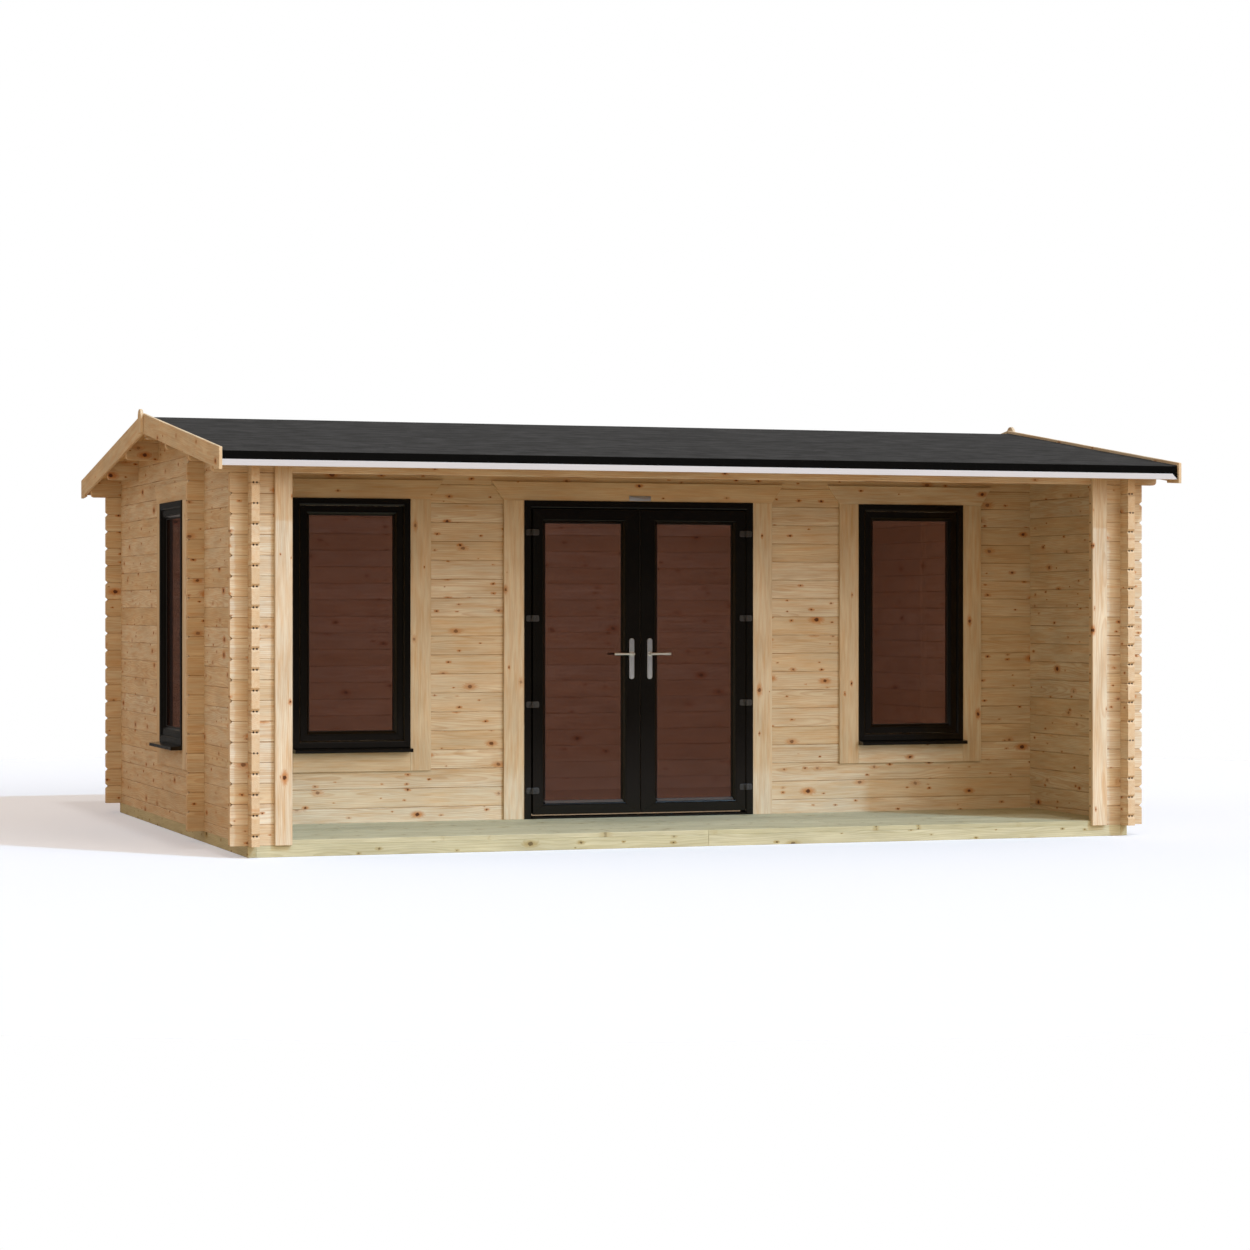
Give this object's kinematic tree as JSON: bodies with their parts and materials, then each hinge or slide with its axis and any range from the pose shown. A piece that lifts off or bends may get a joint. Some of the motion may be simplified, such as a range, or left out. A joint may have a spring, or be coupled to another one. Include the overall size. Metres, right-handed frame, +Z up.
{
  "type": "log cabin",
  "caption": "Interlocking-log garden cabin with a recessed porch, glazed double doors, tall windows and a low gable roof of boards and felt.",
  "frame": {"origin": "on the ground, at the middle of the plan, under the ridge", "axes": "+X along the front, to the right as one faces the doors; +Y from the front to the back; +Z up"},
  "size_m": [5.762, 4.61, 2.5419],
  "materials": {
    "spruce": "planed, untreated",
    "planed_boards": "planed, untreated",
    "treated_timber": "pressure treated, pale green",
    "floor_boards": "planed",
    "roof_boards": "planed",
    "roofing_felt": "mineral felt, matte",
    "white_upvc": "smooth",
    "black_upvc": "satin",
    "tinted_glass": "brown tint",
    "hinge_metal": "dark grey",
    "satin_metal": "satin",
    "plate_metal": "dull, bare"
  },
  "bodies": {
    "root": {"bearers": "treated_timber", "room_floor": "floor_boards", "porch_deck": "treated_timber", "left_wall": "spruce", "right_wall": "spruce", "back_wall": "spruce", "front_wall_left": "spruce", "front_wall_right": "spruce", "front_wall_top": "spruce", "porch_wall_left": "spruce", "porch_wall_right": "spruce", "porch_cover_boards": "planed_boards", "porch_beam": "spruce", "back_beam": "spruce", "purlins": "spruce", "ridge_purlin": "spruce", "roof_boards": "roof_boards", "roof_felt": "roofing_felt", "fascia_boards": "planed_boards", "eaves_strips": "white_upvc", "left_bargeboards": "planed_boards", "right_bargeboards": "planed_boards", "gable_plates": "planed_boards", "front_left_window": "black_upvc", "front_right_window": "black_upvc", "left_side_window": "black_upvc", "right_side_window": "black_upvc", "front_window_glass": "tinted_glass", "side_window_glass": "tinted_glass", "window_sills": "black_upvc", "front_window_trim": "planed_boards", "side_window_trim": "planed_boards", "door_frame": "black_upvc", "door_trim": "planed_boards", "frame_hinges": "hinge_metal", "blank_plate": "plate_metal"},
    "left_door": {"left_door": "black_upvc", "left_door_glass": "tinted_glass", "left_door_hinges": "hinge_metal", "left_handle_plates": "satin_metal"},
    "right_door": {"right_door": "black_upvc", "right_door_glass": "tinted_glass", "right_door_hinges": "hinge_metal", "right_handle_plates": "satin_metal"},
    "left_lever": {"left_lever": "satin_metal"},
    "right_lever": {"right_lever": "satin_metal"}
  },
  "joints": [
    {"name": "left_door_hinge", "type": "hinge", "parent": "root", "child": "left_door", "pos_m": [-0.681, -0.862, 1], "axis": [0, 0, -1], "range_deg": [0, 90]},
    {"name": "right_door_hinge", "type": "hinge", "parent": "root", "child": "right_door", "pos_m": [0.681, -0.862, 1], "axis": [0, 0, 1], "range_deg": [0, 90]},
    {"name": "left_lever_turn", "type": "hinge", "parent": "left_door", "child": "left_lever", "pos_m": [-0.0575, -0.85, 1.075], "axis": [0, -1, 0], "range_deg": [0, 35], "stiffness_Nm_per_rad": 1.5, "springref_deg": -28.65},
    {"name": "right_lever_turn", "type": "hinge", "parent": "right_door", "child": "right_lever", "pos_m": [0.0575, -0.85, 1.075], "axis": [0, 1, 0], "range_deg": [0, 35], "stiffness_Nm_per_rad": 1.5, "springref_deg": -28.65}
  ]
}
